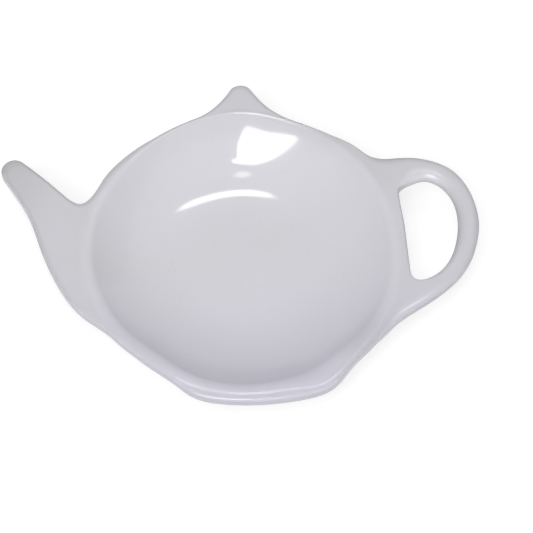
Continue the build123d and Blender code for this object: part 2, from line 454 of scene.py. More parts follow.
print(f"glaze thinner by {thinness(outline(200.0, 0)):.2f} on the rim beside the spout")

# %% [markdown]
# ## The bowl
# A potter could form the bowl with a template that turns against the clay. The grid does the
# same: rings of points round the axis, from the middle of the floor to the joint with the lobes.
# A Screw modifier would turn a profile too, but this wall isn't quite the same all round.

# %% Inside of the bowl
ROUND_STEPS, FLOOR_RINGS, WALL_RINGS, JOINT_STEPS = 360, 12, 70, 5
out = heading(np.linspace(0, 360, ROUND_STEPS + 1)[:-1])
floor_rings = np.linspace(0, floor_radius, FLOOR_RINGS)
rings = np.concatenate([floor_rings, np.linspace(floor_radius, joint_radius, WALL_RINGS)[1:]])
well = glazed_top(axis + rings[None, :, None] * out[:, None, :], close=True)
brink = well["points"][:, -1:]
post = brink[..., 2] + np.linspace(0, 1, JOINT_STEPS) * (lobe_level - brink[..., 2])
joint_face = patch(raised(np.repeat(brink[..., :2], JOINT_STEPS, 1), post), hidden=True, close=True)
print("well:", well["points"].shape[:2], "points round and across")

# %% [markdown]
# ## The underside of the bowl
# The template leaves a straight outer wall with a soft turn into the flat base. The glaze ends
# in a faint roll just outside the foot ring, where a sponge wiped it back. All this is the same
# all round, so one profile of radii and levels is carried round the axis.

# %% Bowl
foot_ledge, base_turn = 3.6 * MM, 2.7 * MM
wiped_in, roll_height, roll_width, roll_in = 2.55 * MM, 0.12 * MM, 0.28 * MM, 0.45 * MM
TURN_POINTS, BELLY_POINTS = 12, 60


def bend(start, corner, end, count):
    """A corner eased into a curve: the quadratic that leaves towards it and arrives from it."""
    t = np.linspace(0, 1, count)[:, None]
    return (1 - t) ** 2 * np.array(start) + 2 * t * (1 - t) * np.array(corner) + t**2 * np.array(end)


def carried(profile):
    """The grid of a profile of radii and levels turned about the axis."""
    plan = axis + profile[None, :, :1] * out[:, None, :]
    return raised(plan, profile[None, :, 1])


foot_outer = (foot_high.x - foot_low.x) / 2
wall_foot = np.array([foot_outer + foot_ledge, foot_high.z])
wall_top = np.array([joint_radius, lobe_level])
slant = (wall_foot - wall_top) / np.linalg.norm(wall_foot - wall_top)
turn_in = bend(wall_foot - base_turn * slant, wall_foot, wall_foot - (base_turn, 0), TURN_POINTS)
glaze_line = wall_foot[0] - wiped_in
belly = np.linspace(turn_in[-1, 0], 0, BELLY_POINTS)[1:]
wiped_roll = roll_height * np.exp(-(((belly - glaze_line + roll_in) / roll_width) ** 2))
beneath = np.concatenate([[wall_top], turn_in, np.stack([belly, foot_high.z - wiped_roll], -1)])
bowl = closed_piece("glazed_bowl", [well, joint_face, patch(carried(beneath), close=True)])

# %% [markdown]
# ## The lobes' section
# Each lobe is a thin plate with a rounded edge, as a sponge leaves it. Its section is carried
# along the outline: from the joint over the crest to the edge, round it, and back below. Where
# the rim is narrow, the edge is tighter. A bevel could round the edge of a plain plate, but a
# section may change its width as it goes.
# The turn of an edge is duller and painted darker, most of all at the back: painted shade. In
# front it is painted whiter instead: painted light.

# %% Glaze and painted shade along an edge
EDGE, TIGHT_EDGE, EDGE_SHARE = 0.75 * MM, 0.40 * MM, 0.8
EDGE_THIN_AND_SHADE, EDGE_FADE, FRONT_PAINTED_LIGHT = 0.35, 0.7 * MM, 1.3


def edge_softness(edge):
    """The width of the rounding: most of what lies between the crest and the edge."""
    beyond = np.linalg.norm(edge - axis, axis=-1) - crest_reach(angle_of(edge))
    return np.clip(EDGE_SHARE * beyond, TIGHT_EDGE, EDGE)


def bareness_and_shade(side):
    """How much of its glaze an edge has lost and how much painted shade it gets: all at the back,
    while in front it falls below nought, which paints light.
    """
    return 1 - FRONT_PAINTED_LIGHT * np.clip(-side[:, 1:], 0, 1)


def toward_edge(start, end, steps, side):
    """How much thinner the glaze gets, and how much painted shade darkens it, just before an edge,
    along a bell curve of the distance.
    """
    from_edge = np.linalg.norm(end - start, axis=1)[:, None] * (1 - steps)
    return EDGE_THIN_AND_SHADE * np.maximum(bareness_and_shade(side), 0) * np.exp(-((from_edge / EDGE_FADE) ** 2))


print(f"edges {TIGHT_EDGE / MM:.2f} to {EDGE / MM:.2f} mm soft")

# %% [markdown]
# ## Top and underside of a plate
# The tops of the lobes lie on the one surface, and their undersides are flat. Each row of points
# goes straight from the crest to the edge. Even steps would do, but points that are closer
# together near the crest follow the dip better.

# %% Top and underside
PLAIN_POINTS, TOP_POINTS, TOP_POWER = 9, 24, 1.7
even_steps = np.linspace(0, 1, PLAIN_POINTS)
spread = np.linspace(0, 1, TOP_POINTS) ** TOP_POWER


def between(start, end, steps):
    """Plan points on the straight line from each start to its end."""
    return start[:, None] + steps[None, :, None] * (end - start)[:, None]


def top_of(start, end, steps, thinner=0.0):
    """A stretch of the top, from start to end."""
    return glazed_top(between(start, end, steps), thinner=thinner)


def under_of(start, end):
    """The underside of a plate, from start to end."""
    return patch(raised(between(start, end, even_steps), lobe_level))


print("points across a top:", len(spread))

# %% [markdown]
# ## The rounded edge
# The edge is two quarters of ellipses with a short upright side between them. Its normals come
# from the same ellipses, so that even few points give a smooth highlight. A Bevel modifier gives
# such a form too, but not the glaze that thins out along it, nor the painted shade on it.

# %% Rounded edge
TALL_ROUND, LOW_ROUND = 2.0 * MM, 1.5 * MM
SIDE_SHADE_AND_LOSS, LOST_FROM_TO = 0.25, np.radians([105, 65])
QUARTER_POINTS = 9
quarter = np.linspace(0, np.pi / 2, QUARTER_POINTS)
tilt = np.concatenate([quarter, quarter + np.pi / 2])
is_upper = np.arange(len(tilt)) < len(quarter)
# The painted shade is full on the upper turn of an edge and falls to a quarter on its lower side.
most_shade_and_loss = SIDE_SHADE_AND_LOSS + (1 - SIDE_SHADE_AND_LOSS) * eased(tilt, *LOST_FROM_TO)


def edge_of(fold, side, soft, tall_round=TALL_ROUND, thinner=0.0, lost=None):
    """The rounded edge: out from the fold by the sine of the tilt, down by a quarter of an ellipse,
    straight along the side, and in again by a quarter of a lower ellipse. Its normals point out
    by the height and up by the width of the ellipse. The glaze, with its painted shade, goes from
    that of the fold to what is lost by the square of the sine; the lower side gets less painted shade."""
    soft = soft[:, None]
    tall = np.where(is_upper, np.minimum(soft, tall_round), np.minimum(soft, LOW_ROUND))
    plan = fold[:, None] + (soft * np.sin(tilt))[..., None] * side[:, None]
    level = np.where(is_upper, surface(fold)[:, None] - tall, lobe_level + tall) + tall * np.cos(tilt)
    normals = raised((tall * np.sin(tilt))[..., None] * side[:, None], soft * np.cos(tilt))
    normals /= np.linalg.norm(normals, axis=-1, keepdims=True)
    lost = np.minimum(bareness_and_shade(side) if lost is None else lost, most_shade_and_loss)
    at_fold = thinness(fold)[:, None] + thinner
    return patch(raised(plan, level), at_fold + (lost - at_fold) * np.sin(tilt) ** 2, normals)


print("points round an edge:", len(tilt))

# %% [markdown]
# ## Where lobes meet the bowl and each other
# On the real rest nothing shows there, since it is all one clay. The skins could be fused, but
# the part is a set of separate pieces that touch. The end rows of a lobe lie on lines that two
# neighbours share, so no gap opens between them.

# %% Points on the joint and the crest
TRIES = 20


def toward(angle, reach_at):
    """The plan point at an angle round the middle whose distance from the axis is the wanted one,
    by stepping outwards by what is missing."""
    point = outline(angle, 0)
    for _ in range(TRIES):
        missing = reach_at(angle_of(point)) - np.linalg.norm(point - axis)
        point = point + missing * heading(angle)
    return point


def joint_and_crest(across, first, last):
    """Plan points on the joint and on the crest at angles round the axis. The end rows lie on
    straight lines from the middle."""
    joint = axis + joint_radius * heading(across)
    crest = axis + crest_reach(across)[:, None] * heading(across)
    joint[[0, -1]] = [toward(angle, lambda _: joint_radius) for angle in (first, last)]
    crest[[0, -1]] = [toward(angle, crest_reach) for angle in (first, last)]
    return joint, crest


def crest_angles(first, last, count):
    """Even angles round the axis between the crest's points at two angles round the middle."""
    ends = np.radians([angle_of(toward(angle, crest_reach)) for angle in (first, last)])
    return np.degrees(np.linspace(*np.unwrap(ends), count))


print("the knob's crest spans", crest_angles(KNOB_START, SPOUT_START, 2).round(1), "degrees")

# %% [markdown]
# ## A whole lobe
# Lip, knob and spout are made alike, so one function makes them. Hidden faces close each skin
# inside the crest and where it meets its neighbours. It could be left open there, but a closed
# skin has a volume to check. A hair is kept off the outline, so that the skin stays inside the
# solids' box.

# %% Skin of a lobe
HAIR = 0.006 * MM


def hidden_faces(joint, chain):
    """The upright joint inside the crest, and the faces where a lobe meets its neighbours."""
    section = np.concatenate([piece["points"] for piece in chain], axis=1)
    count = section.shape[1]
    fall = section[:, 0, 2:] + np.linspace(0, 1, count) * (lobe_level - section[:, 0, 2:])
    post = raised(np.repeat(joint[:, None], count, 1), fall)
    faces = [post[:, ::-1], np.stack([post[0], section[0]]), np.stack([section[-1], post[-1]])]
    return [patch(face, hidden=True) for face in faces]


def lobe(name, edge, across, first, last):
    """A lobe from its outline, the angles of its rows round the axis and those of its two ends."""
    side = right_side(edge)
    side[[0, -1]] = heading(first), heading(last)
    edge = edge - HAIR * side
    soft = edge_softness(edge)
    fold = edge - soft[:, None] * side
    joint, crest = joint_and_crest(across, first, last)
    thinner = toward_edge(crest, fold, spread, side)
    chain = [
        top_of(joint, crest, even_steps), top_of(crest, fold, spread, thinner),
        edge_of(fold, side, soft, thinner=thinner[:, -1:]), under_of(fold, joint),
    ]
    return closed_piece(name, chain + hidden_faces(joint, chain))


print(f"skins stay {HAIR / MM:.3f} mm inside the outline")

# %% [markdown]
# ## The base lip
# In front, the foot of the teapot's outline flares a little, more on the handle side. An arc
# would be simpler, but the line is a freehand one. The lip is the plainest lobe, so it comes first.

# %% Base lip
LIP_ROWS = 170
base_drop = 2.2 * MM
base_marks = [
    (-36.5, 0.05), (-30.3, 0.38), (-24.0, 0.97), (-12.7, 1.04), (0.0, 1.0),
    (12.7, 1.33), (24.0, 1.50), (30.3, 0.83), (35.2, 0.41),
]
base_end = HANDLE_START + 360
base_points = marked(base_marks, base_drop, LIP_ANGLE)
base_edge = evenly(spline(
    [outline(BASE_START, 0), *base_points, outline(base_end, FLANK_RISE)],
    heading(BASE_START + 90), heading(base_end + 90),
), LIP_ROWS)
base_across = crest_angles(BASE_START, base_end, LIP_ROWS)
base_lip = lobe("glazed_base_lip", base_edge, base_across, BASE_START, base_end)

# %% [markdown]
# ## The lid knob
# The knob is a small pointed lobe with a round tip. Its outline is two splines that meet the
# arc of the tip without a kink, and shoulders that run on along the rim. A squashed sphere would
# be quicker, but a lobe with its own outline keeps the thickness of the rim.

# %% Lid knob
KNOB_ROWS = 190
tip_radius = 3.5 * MM
knob_angle, knob_height, knob_flank = 88.2, 8.6 * MM, 57.5
dip_marks = [(70.0, -0.8), (74.0, -0.08)]
right_marks = [(-10.2, 0.16)]
left_marks = [(10.2, 0.23), (15.0, 0.06), (19.0, 0.015)]
knob_centre = outline(knob_angle, knob_height - tip_radius)
knob_tip = arc(knob_centre, tip_radius, knob_angle - knob_flank, knob_angle + knob_flank)
right_points = marked(dip_marks, SHOULDER_DIP) + marked(right_marks, knob_height, knob_angle)
knob_right = spline(
    [outline(KNOB_START, -SHOULDER_DIP), *right_points, knob_tip[0]],
    heading(KNOB_START + 90), heading(knob_angle - knob_flank + 90),
)
knob_left = spline(
    [knob_tip[-1], *marked(left_marks, knob_height, knob_angle), outline(SPOUT_START, 0)],
    heading(knob_angle + knob_flank + 90), heading(SPOUT_START + 90),
)
knob_edge = evenly(np.concatenate([knob_right, knob_tip[1:-1], knob_left]), KNOB_ROWS)
knob_across = crest_angles(KNOB_START, SPOUT_START, KNOB_ROWS)
lid_knob = lobe("glazed_lid_knob", knob_edge, knob_across, KNOB_START, SPOUT_START)

# %% [markdown]
# ## The spout's outline
# The spout leans back over the bowl's shoulder, so its upper edge turns sharply at a notch. Its
# tip is as round as the knob's, and its lower edge runs down the bowl's side in a long S. A real
# spout would be a bent tube. This one is only its flat outline: two splines and an arc.

# %% Outline of the spout
SPOUT_ROWS = 360
spout_reach, spout_angle, spout_lift, spout_fall = 25.2 * MM, 155.2, 137.5, 299.0
upper_marks = [
    (120.0, 0.0), (129.0, 0.024), (138.0, 0.053), (147.0, 0.078), (153.8, 0.087),
    (158.9, 0.17), (157.4, 0.40),
]
lower_marks = [
    (162.0, 0.838), (168.1, 0.635), (175.2, 0.51), (183.5, 0.40), (191.8, 0.305),
    (200.7, 0.19), (209.9, 0.06), (214.5, 0.036), (220.0, 0.012),
]
spout_tip = arc(outline(spout_angle, spout_reach), tip_radius, spout_lift - 90, spout_fall - 90)
spout_upper = spline(
    [outline(SPOUT_START, 0), *marked(upper_marks, spout_reach), spout_tip[0]],
    heading(SPOUT_START + 90), heading(spout_lift),
)
spout_lower = spline(
    [spout_tip[-1], *marked(lower_marks, spout_reach), outline(BASE_START, 0)],
    heading(spout_fall), heading(BASE_START + 90),
)
spout_edge = evenly(np.concatenate([spout_upper, spout_tip[1:-1], spout_lower]), SPOUT_ROWS)
print(f"tip of the spout {-spout_edge[:, 0].min() / MM:.1f} mm to the left")

# %% [markdown]
# ## Rows of the spout
# Straight lines from crest to edge would cross at the notch, if each went to its own angle. So
# the ends on the crest are spread between the notch and the tip at listed angles.

# %% Spout
NOTCH_STARTS, TIP_ENDS = 150.0, 178.0
HAND_ANGLES = [NOTCH_STARTS, 165.0, 169.0, 172.0, TIP_ENDS]
spout_across = angle_of(spout_edge - EDGE * right_side(spout_edge)) % 360
tip_at = np.linalg.norm(spout_edge - axis, axis=1).argmax()
notch_at = spout_across[:tip_at].argmax()
before = np.searchsorted(spout_across[:notch_at], NOTCH_STARTS)
after = tip_at + np.searchsorted(spout_across[tip_at:], TIP_ENDS)
hand_rows = [before, notch_at, notch_at + (tip_at - notch_at) // 4, tip_at, after]
spout_across[before:after] = np.interp(np.arange(before, after), hand_rows, HAND_ANGLES)
spout = lobe("glazed_spout", spout_edge, spout_across, SPOUT_START, BASE_START)

# %% [markdown]
# ## The handle's outline
# The handle is a bar bent into a loop. Its outer line leaves the flank below, swings out to its
# widest point, and comes back over a shoulder towards the knob. A curve with a round bevel makes
# such a bar, but this one has to run out into the flat rim at both ends.

# %% Outline of the handle
HANDLE_ROWS = 440
handle_reach, handle_level = 19.8 * MM, 4.3 * MM
flank_angle = -45.0
low_marks = [(-41.0, 0.055), (-32.8, 0.135), (-24.6, 0.34), (-17.4, 0.58), (-10.6, 0.79), (-3.5, 0.93)]
high_marks = [
    (11.3, 1.0), (18.3, 0.91), (24.8, 0.66), (29.8, 0.34), (32.5, 0.16), (36.6, 0.045), (41.0, 0.02),
]
shoulder_marks = [(46.0, 0.0), (52.0, -0.62), (57.0, -0.88)]
low, high = marked(low_marks, handle_reach), marked(high_marks, handle_reach)
shoulder = marked(shoulder_marks, SHOULDER_DIP)
loop_side = middle + np.array([outline_radius + handle_reach, handle_level])
handle_low = spline(
    [outline(HANDLE_START, FLANK_RISE), outline(flank_angle, FLANK_RISE), *low, loop_side],
    heading(HANDLE_START + 90), heading(90),
)
handle_high = spline(
    [loop_side, *high, *shoulder, outline(KNOB_START, -SHOULDER_DIP)],
    heading(90), heading(KNOB_START + 90),
)
handle_edge = evenly(np.concatenate([handle_low, handle_high[1:]]), HANDLE_ROWS)
print(f"loop {handle_edge[:, 0].max() / MM:.1f} mm to the right")

# %% [markdown]
# ## The finger opening
# The opening takes a fingertip. Its inner line faces the outer line at the bar's width, and a
# straight side closes it along the bowl. A boolean could cut it, but the round edge inside would
# be hard to add. So the opening is drawn as two lines that start and end in its two corners.

# %% Lines of the opening
bar_width, web_inset = 5.6 * MM, 0.2 * MM
grip_x, grip_y = 4.7 * MM, 3.0 * MM
opening_bottom, opening_top = -13.5 * MM, 15.2 * MM
wider_by = np.array([0.0, 0.0, 0.0, 0.0, 0.0, 0.3, 0.5]) * MM
LOW_CORNER, HIGH_CORNER, LOW_LEAVES = 3.4 * MM, 1.9 * MM, 2.0
BAR_POINTS, BEND_HALF, SIDE_POINTS = 400, 20, 80
grip = middle + np.array([outline_radius + grip_x, grip_y])
web_x = middle[0] + outline_radius - web_inset
corner_low = np.array([web_x, middle[1] + opening_bottom])
corner_high = np.array([web_x, middle[1] + opening_top])


def bar_inside(point, wider):
    """The opening's point that faces a point of the outline: closer to the grip by the bar's width."""
    return point + (grip - point) * (bar_width + wider) / np.linalg.norm(grip - point)


facing = [bar_inside(*pair) for pair in zip([*low[3:], loop_side, *high[:3]], wider_by)]
arrive = corner_high - facing[-1]
bar_line = evenly(spline(
    [corner_low, *facing, corner_high], heading(LOW_LEAVES), arrive / np.linalg.norm(arrive),
), BAR_POINTS)
near_low, near_high = bar_line[:BAR_POINTS // 2], bar_line[BAR_POINTS // 2:][::-1]
cut = np.searchsorted(np.linalg.norm(near_low - corner_low, axis=1), LOW_CORNER)
end_cut = BAR_POINTS - 1 - np.searchsorted(np.linalg.norm(near_high - corner_high, axis=1), HIGH_CORNER)
low_bend = bend(corner_low + (0, LOW_CORNER), corner_low, bar_line[cut], 2 * BEND_HALF + 1)
high_bend = bend(bar_line[end_cut], corner_high, corner_high - (0, HIGH_CORNER), 2 * BEND_HALF + 1)
straight = evenly(np.stack([low_bend[0], high_bend[-1]]), SIDE_POINTS)[1:-1]
bar_hole = np.concatenate([low_bend[BEND_HALF:], bar_line[cut + 1:end_cut], high_bend[:BEND_HALF + 1]])
web_hole = np.concatenate([low_bend[BEND_HALF::-1], straight, high_bend[BEND_HALF:][::-1]])
print(f"opening {np.ptp(bar_hole[:, 0]) / MM:.1f} x {np.ptp(bar_hole[:, 1]) / MM:.1f} mm")

# %% [markdown]
# ## Softness of the handle's edges
# The straight side of the opening leans a little towards the well at its far end. The bar's edges
# are rounder than those of the rim, and not alike: the near arm is rounder outside and the far
# arm inside, as the streaks of light on them show. So the rounding takes a share of the bar's
# width that changes from arm to arm, and eases into the rim's tight edge at both roots.

# %% Lean and softness
WEB_LEAN, LEAN_NEAR, LEAN_FROM_TO = 0.45 * MM, 4.0 * MM, (3.0 * MM, 12.0 * MM)
BAR_SOFT = 4.4 * MM
OUTER_SHARES, INNER_SHARES, SHARES_FROM_TO = (0.62, 0.30), (0.28, 0.60), (-12.0, 12.0)
LOW_ROOT, HIGH_ROOT = (-38.0, -24.0), (38.0, 30.0)


def leaning(line):
    """A line of the opening, moved towards the well where it is near the straight side's far end."""
    near_web = 1 - eased(line[:, 0] - web_x, 0, LEAN_NEAR)
    share = eased(line[:, 1] - middle[1], *LEAN_FROM_TO) * near_web
    return line - np.stack([WEB_LEAN * share, 0 * share], -1)


def nearest(points, line):
    """The distance of each point from the nearest point of a line."""
    return np.linalg.norm(points[:, None] - line[None], axis=-1).min(axis=1)


def share_of_bar(line, shares):
    """The share of the bar's width that the rounding takes: from the near arm's to the far arm's."""
    return shares[0] + (shares[1] - shares[0]) * eased(angle_of(line), *SHARES_FROM_TO)


bar_hole, web_hole = leaning(bar_hole), leaning(web_hole)
side = right_side(handle_edge)
side[[0, -1]] = heading(HANDLE_START), heading(KNOB_START)
handle_edge = handle_edge - HAIR * side
edge_angle = angle_of(handle_edge)
on_bar = eased(edge_angle, *LOW_ROOT) * eased(edge_angle, *HIGH_ROOT)
half_bar = np.minimum(BAR_SOFT, share_of_bar(handle_edge, OUTER_SHARES) * nearest(handle_edge, bar_hole))
rim_soft = edge_softness(handle_edge)
soft = rim_soft + (half_bar - rim_soft) * on_bar
fold = handle_edge - soft[:, None] * side
print(f"outer edge {soft.min() / MM:.2f} to {soft.max() / MM:.2f} mm soft")

# %% [markdown]
# ## The edge inside the opening
# The grid splits in two along the opening: a web beside the bowl, and the bar. Both lines get as
# many points as the outer line has rows between the two corners, and share their ends, where
# the edge turns from one to the other.

# %% Folds of the opening
CORNER_FADE = 6.0 * MM


def hole_fold(line, hole_soft, hand):
    """An edge of the opening moved into the clay, and the way back into the opening."""
    inward = hand * right_side(line)
    return line - hole_soft[:, None] * inward, inward


corner_rows = [int(np.linalg.norm(fold - bar_hole[end], axis=1).argmin()) for end in (0, -1)]
row_low, row_high = corner_rows
count = row_high - row_low + 1
bar_hole, web_hole = evenly(bar_hole, count), evenly(web_hole, count)
from_corner = np.minimum(nearest(bar_hole, bar_hole[:1]), nearest(bar_hole, bar_hole[-1:]))
half_bar = np.minimum(BAR_SOFT, share_of_bar(bar_hole, INNER_SHARES) * nearest(bar_hole, handle_edge))
bar_soft = EDGE + (half_bar - EDGE) * eased(from_corner, 0, CORNER_FADE)
web_soft = np.full(count, EDGE)
bar_fold, bar_in = hole_fold(bar_hole, bar_soft, -1)
web_fold, web_in = hole_fold(web_hole, web_soft, 1)
for index in (0, -1):
    shared = bar_in[index] + web_in[index]
    bar_in[index] = web_in[index] = shared / np.linalg.norm(shared)
    bar_fold[index] = web_fold[index] = bar_hole[index] - EDGE * bar_in[index]
print("rows of the handle:", len(fold), "of which", count, "along the opening")

# %% [markdown]
# ## Rows of the handle
# Past the corners the web and the bar are one plate, and their shared border is free to choose.
# It runs on from each corner at a steady share of the way from crest to edge, so that the quads
# stay even.

# %% Border between web and bar
ROW_FADE = 40.0
across = angle_of(fold)
corner_angle = angle_of(bar_fold[[0, -1]])
missed = corner_angle - across[corner_rows]
across[row_low:row_high + 1] = np.linspace(*corner_angle, count)
across[:row_low] += np.linspace(0, missed[0], row_low + 1)[:-1]
across[row_high + 1:] += np.linspace(missed[1], 0, len(fold) - row_high)[1:]
joint, crest = joint_and_crest(across, HANDLE_START, KNOB_START)
to_corner = np.linalg.norm(bar_fold[[0, -1]] - crest[corner_rows], axis=1)
past_corner = np.linalg.norm(fold[corner_rows] - bar_fold[[0, -1]], axis=1)
rows = np.arange(len(fold))
share = np.interp(rows, corner_rows, to_corner / (to_corner + past_corner))[:, None]
web_edge = crest + share * (fold - crest)
for row, corner in zip(corner_rows, bar_fold[[0, -1]]):
    fading = np.exp(-(((rows - row) / ROW_FADE) ** 2))[:, None]
    web_edge += fading * (corner - crest[row] - share[row] * (fold[row] - crest[row]))
bar_edge = web_edge.copy()
web_edge[row_low:row_high + 1], bar_edge[row_low:row_high + 1] = web_fold, bar_fold
print("corners of the opening at", corner_angle.round(1), "degrees")

# %% [markdown]
# ## The handle loop
# With all borders known, the handle is a set of patches like the other lobes, with two more
# rounded edges inside the opening. Its bar is flatter on top, and its edges get less painted
# shade than the rim's, least where they face the front.

# %% Handle loop
BAR_TALL = 0.85 * MM
OUTER_SHADE_AND_LOSS, INNER_SHADE_AND_LOSS, BAR_FRONT_LESS_SHADE = 0.75, 0.4, 0.55
# The bar's edges get less painted shade than the rim's, least where they face the front.
on_outside = OUTER_SHADE_AND_LOSS - BAR_FRONT_LESS_SHADE * np.clip(-side[:, 1:], 0, 1)
on_inside = INNER_SHADE_AND_LOSS - BAR_FRONT_LESS_SHADE * np.clip(-bar_in[:, 1:], 0, 1)
lost = bareness_and_shade(side) + (on_outside - bareness_and_shade(side)) * on_bar[:, None]
chain = [
    top_of(joint, crest, even_steps), top_of(crest, web_edge, spread), top_of(bar_edge, fold, spread),
    edge_of(fold, side, soft, BAR_TALL, lost=lost), under_of(fold, bar_edge), under_of(web_edge, joint),
]
web_round = edge_of(web_fold, web_in, web_soft, lost=OUTER_SHADE_AND_LOSS)
bar_round = edge_of(bar_fold, bar_in, bar_soft, lost=on_inside)
bar_round = patch(*(bar_round[key][:, ::-1] for key in ("points", "thin", "seam")))
rounds = [web_round, bar_round]
handle_loop = closed_piece("glazed_handle_loop", chain + rounds + hidden_faces(joint, chain))

# %% [markdown]
# ## The foot ring
# Glazed ware would stick to the kiln shelf, so it stands on a ring that is wiped bare. The ring
# is turned, with soft lower edges, and rests flat. It is the same kind of grid as the bowl:
# a closed section carried round the axis.

# %% Foot ring
foot_width, foot_soft = 3.6 * MM, 0.8 * MM
TREAD_POINTS, SEAT_POINTS = 10, 8
foot_inner = foot_outer - foot_width
to_side, to_tread = foot_soft * (1 - np.cos(quarter)), foot_soft * (1 - np.sin(quarter))
outer_low = np.stack([foot_outer - to_side, to_tread], -1)
inner_low = np.stack([foot_inner + to_tread, to_side], -1)
tread = np.linspace(outer_low[-1, 0], inner_low[0, 0], TREAD_POINTS)[1:-1]
seat = np.linspace(foot_inner, foot_outer, SEAT_POINTS)
foot_line = np.concatenate([
    np.stack([seat, np.full(len(seat), foot_high.z)], -1),
    outer_low, np.stack([tread, 0 * tread], -1), inner_low,
    [[foot_inner, foot_high.z]],
])
foot_ring = closed_piece("bare_foot_ring", [patch(carried(foot_line), close=True)])

# %% [markdown]
# ## Shader maths as expressions
# A material is a net of nodes, and long sums are hard to read there. This small class wraps one
# output of a node, so that `1 - mask` or `0.3 * grain` adds the Math nodes by itself.

# %% A wire between nodes


class Wire:
    """One output of a node. Arithmetic on it adds Math nodes to the same tree."""

    def __init__(self, tree, socket=None):
        self.tree, self.socket = tree, socket

    def add(self, kind, settings=(), sockets=(), out=0):
        """Adds a node of a kind: first its settings, then the values or links of its sockets."""
        node = self.tree.nodes.new(kind)
        for name, value in dict(settings).items():
            setattr(node, name, value)
        for key, value in dict(sockets).items():
            if isinstance(value, Wire):
                self.tree.links.new(value.socket, node.inputs[key])
            else:
                node.inputs[key].default_value = value
        return Wire(self.tree, node.outputs[out])

    def math(self, operation, first, second):
        """A Math node of two values."""
        return self.add("ShaderNodeMath", {"operation": operation}, {0: first, 1: second})

    def __add__(self, other):
        return self.math("ADD", self, other)

    def __sub__(self, other):
        return self.math("SUBTRACT", self, other)

    def __rsub__(self, other):
        return self.math("SUBTRACT", other, self)

    def __mul__(self, other):
        return self.math("MULTIPLY", self, other)

    __radd__, __rmul__ = __add__, __mul__

    def step(self, low, high):
        """Nought below low and one above high, along a smooth step."""
        sockets = {"Value": self, "From Min": low, "From Max": high}
        return self.add("ShaderNodeMapRange", {"interpolation_type": "SMOOTHSTEP"}, sockets)

    def noise(self, size, detail=2.0):
        """Cloudy noise whose blobs are about the given size across, on object coordinates."""
        place = self.add("ShaderNodeTexCoord", out="Object")
        return self.add("ShaderNodeTexNoise", {}, {"Vector": place, "Scale": 1 / size, "Detail": detail})

    def mixed(self, share, first, second):
        """A colour between two others."""
        return self.add("ShaderNodeMix", {"data_type": "RGBA"}, {0: share, 6: first, 7: second}, out=2)

    def show(self, output="ShaderNodeOutputMaterial"):
        """Sends this shader to the output of its tree."""
        self.tree.links.new(self.socket, self.tree.nodes.new(output).inputs["Surface"])


def new_material(name):
    """A material with an empty tree, ready for its first wire."""
    material = bpy.data.materials.new(name)
    material.use_nodes = True
    material.node_tree.nodes.clear()
    return material, Wire(material.node_tree)


print("a wire knows:", [name for name in vars(Wire) if not name.startswith("_")])

# %% [markdown]
# ## Colours and places for the finishes
# The colours come from the record of the part, so the finishes and the solids agree. Both
# finishes change with the level and with the distance from the axis, because the foot was wiped
# on a wheel.

# %% Slots and places
slot_colour = {m["slot"]: np.array(m["base_color"]) for m in frame["record"]["materials"]}
white, clay = slot_colour["white_glaze"], slot_colour["bare_clay"]


def shade(colour, factor=1.0, tint=(0.0, 0.0, 0.0)):
    """A colour made lighter or darker and tinted, with the alpha that a socket wants."""
    return (*(np.array(colour) * factor + tint), 1.0)


def coordinate(wire, index):
    """One coordinate of a place on the object."""
    place = wire.add("ShaderNodeTexCoord", out="Object")
    return wire.add("ShaderNodeSeparateXYZ", {}, {0: place}, out=index)


def axis_distance(wire):
    """The distance of a place from the axis: the length of the way there on the plan."""
    place = wire.add("ShaderNodeTexCoord", out="Object")
    plan = wire.add("ShaderNodeVectorMath", {"operation": "SUBTRACT"}, {0: place, 1: (*axis, 0.0)})
    plan = wire.add("ShaderNodeVectorMath", {"operation": "MULTIPLY"}, {0: plan, 1: (1.0, 1.0, 0.0)})
    return wire.add("ShaderNodeVectorMath", {"operation": "LENGTH"}, {0: plan}, out="Value")


print("slots:", {slot: colour.round(3).tolist() for slot, colour in slot_colour.items()})

# %% [markdown]
# ## Colour of the white glaze
# The glaze is glass over white clay. Where the value of the points is high, on the lobes, the
# spout's tip, round edges and a few places on the rim, it is painted greyer: painted shade. Along
# the front edge it is painted whiter: painted light. Towards the front it is painted a touch
# bluer: a painted tint of bluish light. A few iron specks show close by. Underneath, it stops
# short of the foot with a wavering edge. An image could hold all this, but noise and the
# attribute of the points need no unwrapping and stay sharp at any distance.

# %% Glaze colour
CLOUD_SIZE, SPECK_SIZE, WAVER_SIZE = 26 * MM, 1.5 * MM, 7 * MM
FRONT, BARE_FROM_TO, WAVER, LINE_HALF = -45 * MM, (2.2 * MM, 2.9 * MM), 1.6 * MM, 0.1 * MM
SPECK_SHOWS = 0.07
dim, bright = shade(white, 0.985), shade(white, 1.012, (-0.004, -0.002, 0.004))
# The bluish tint is painted light, the milky white is painted light along the front edge, and the greyed
# white is painted shade.
painted_blue_light, painted_light_white = shade(white, 1.0, (-0.004, -0.014, 0.042)), shade(white, 1.3)
painted_shade_grey = shade(white, 0.60, (0.004, 0.002, -0.004))

glaze, w = new_material("fired_white_glaze")
x, y, level = (coordinate(w, index) for index in range(3))
from_axis = axis_distance(w)
# The attribute's value is painted shade where positive and painted light where negative; it also sets the
# gloss.
glaze_shade_and_light = w.add("ShaderNodeAttribute", {"attribute_name": "thin_glaze_and_painted_shade"}, out=2)
thin, painted_front_light = w.math("MAXIMUM", glaze_shade_and_light, 0.0), 0 - glaze_shade_and_light
clouds = w.noise(CLOUD_SIZE, 3.0)
speck = w.noise(SPECK_SIZE, 0.0).step(0.80, 0.84)
colour = w.mixed(clouds.step(0.3, 0.7), dim, bright)
